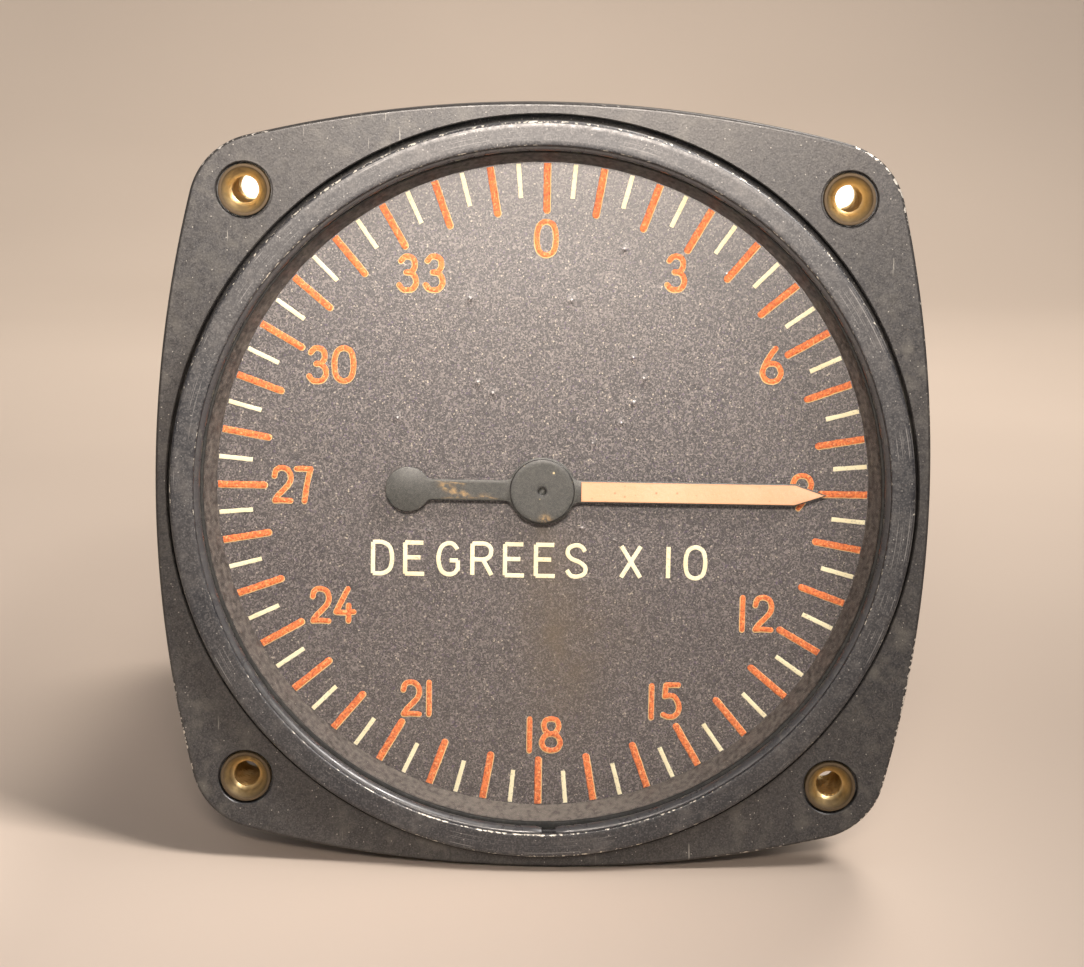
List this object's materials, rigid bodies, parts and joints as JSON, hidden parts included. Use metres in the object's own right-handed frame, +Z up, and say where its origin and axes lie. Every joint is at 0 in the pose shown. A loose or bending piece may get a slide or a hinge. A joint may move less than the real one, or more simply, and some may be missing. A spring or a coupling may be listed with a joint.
{
  "type": "radio compass indicator",
  "caption": "Panel instrument whose pointer shows a relative bearing on a fixed dial; a synchro receiver in the sealed case turns it.",
  "frame": {"origin": "on the axis of the spigot that passes through the panel hole, in the plane of the flange's front face", "axes": "-Y out of the dial towards the reader, +Y along the case towards the receptacle, +Z up through 0 on the dial"},
  "size_m": [0.0818, 0.115, 0.0818],
  "materials": {
    "flange_paint": "dark grey paint on a die casting, satin, fine grain, worn to bright metal at the edges",
    "bezel_black": "black enamel, semi-gloss, worn bright along its edges",
    "black_steel": "blackened spring steel, glossy",
    "rubber": "black rubber, dull",
    "clear_glass": "clear flat glass",
    "spacer_brown": "brown-black paint, dusty",
    "dial_black": "matte dark grey dial paint with a fine glitter",
    "orange_paint": "thick orange luminous paint",
    "cream_paint": "flat cream paint",
    "pointer_black": "dark grey paint on thin sheet",
    "pointer_cream": "thick luminous paint, yellowed",
    "bright_steel": "ground steel",
    "zinc_steel": "zinc-plated screws",
    "core_steel": "varnished steel laminations",
    "copper": "enamelled copper wire, varnished",
    "brass": "dull brass with bright threads",
    "silver_rings": "silver-plated rings and tags",
    "aluminium": "machined casting",
    "phenolic": "brown moulded phenolic",
    "spring_bronze": "phosphor bronze leaf",
    "carbon": "silver graphite",
    "wire_red": "waxed insulation",
    "insert_black": "moulded insulating insert",
    "shell_grey": "anodised shell, dull"
  },
  "bodies": {
    "case_body": {"case": "flange_paint", "mounting_inserts": "brass", "bezel_ring": "bezel_black", "glass_retainer": "black_steel", "glass_gasket": "rubber", "cover_glass": "clear_glass", "dial_spacer": "spacer_brown", "dial_plate": "dial_black", "dial_key": "bright_steel", "major_graduations": "orange_paint", "minor_graduations": "cream_paint", "front_outer_ring": "bright_steel", "rear_outer_ring": "bright_steel", "preload_spring": "bright_steel", "mounting_plate": "aluminium", "mounting_plate_screws": "zinc_steel", "front_end_bell": "aluminium", "stator_housing": "aluminium", "stator_core": "core_steel", "stator_windings": "copper", "rear_end_bell": "aluminium", "tie_bolts": "zinc_steel", "brush_blocks": "phenolic", "leaf_springs": "spring_bronze", "brushes": "carbon", "brush_screws": "zinc_steel", "terminal_board": "phenolic", "terminal_lugs": "silver_rings", "stator_leads": "wire_red", "connector_leads": "wire_red", "back_gasket": "rubber", "back_cover": "flange_paint", "back_cover_screws": "zinc_steel", "receptacle_gasket": "rubber", "receptacle_shell": "shell_grey", "receptacle_insert": "insert_black", "contact_pins": "silver_rings", "receptacle_screws": "zinc_steel"},
    "pointer_rotor": {"pointer": "pointer_black", "pointer_paint": "pointer_cream", "pointer_hub": "pointer_black", "rotor_shaft": "bright_steel", "rotor_core": "core_steel", "rotor_windings": "copper", "slip_ring_insulator": "phenolic", "slip_rings": "silver_rings", "front_inner_ring": "bright_steel", "rear_inner_ring": "bright_steel", "shaft_rings": "black_steel"},
    "front_ball_set": {"front_balls": "bright_steel", "front_cage": "brass"},
    "rear_ball_set": {"rear_balls": "bright_steel", "rear_cage": "brass"}
  },
  "joints": [
    {"name": "pointer_turn", "type": "hinge", "parent": "case_body", "child": "pointer_rotor", "pos_m": [0, 0, 0], "axis": [0, 1, 0], "continuous": true},
    {"name": "front_balls_roll", "type": "hinge", "parent": "case_body", "child": "front_ball_set", "pos_m": [0, 0, 0], "axis": [0, 1, 0], "continuous": true},
    {"name": "rear_balls_roll", "type": "hinge", "parent": "case_body", "child": "rear_ball_set", "pos_m": [0, 0, 0], "axis": [0, 1, 0], "continuous": true}
  ],
  "couplings": [
    {"joint": "front_balls_roll", "follows": "pointer_turn", "ratio": 0.375},
    {"joint": "rear_balls_roll", "follows": "pointer_turn", "ratio": 0.375}
  ]
}
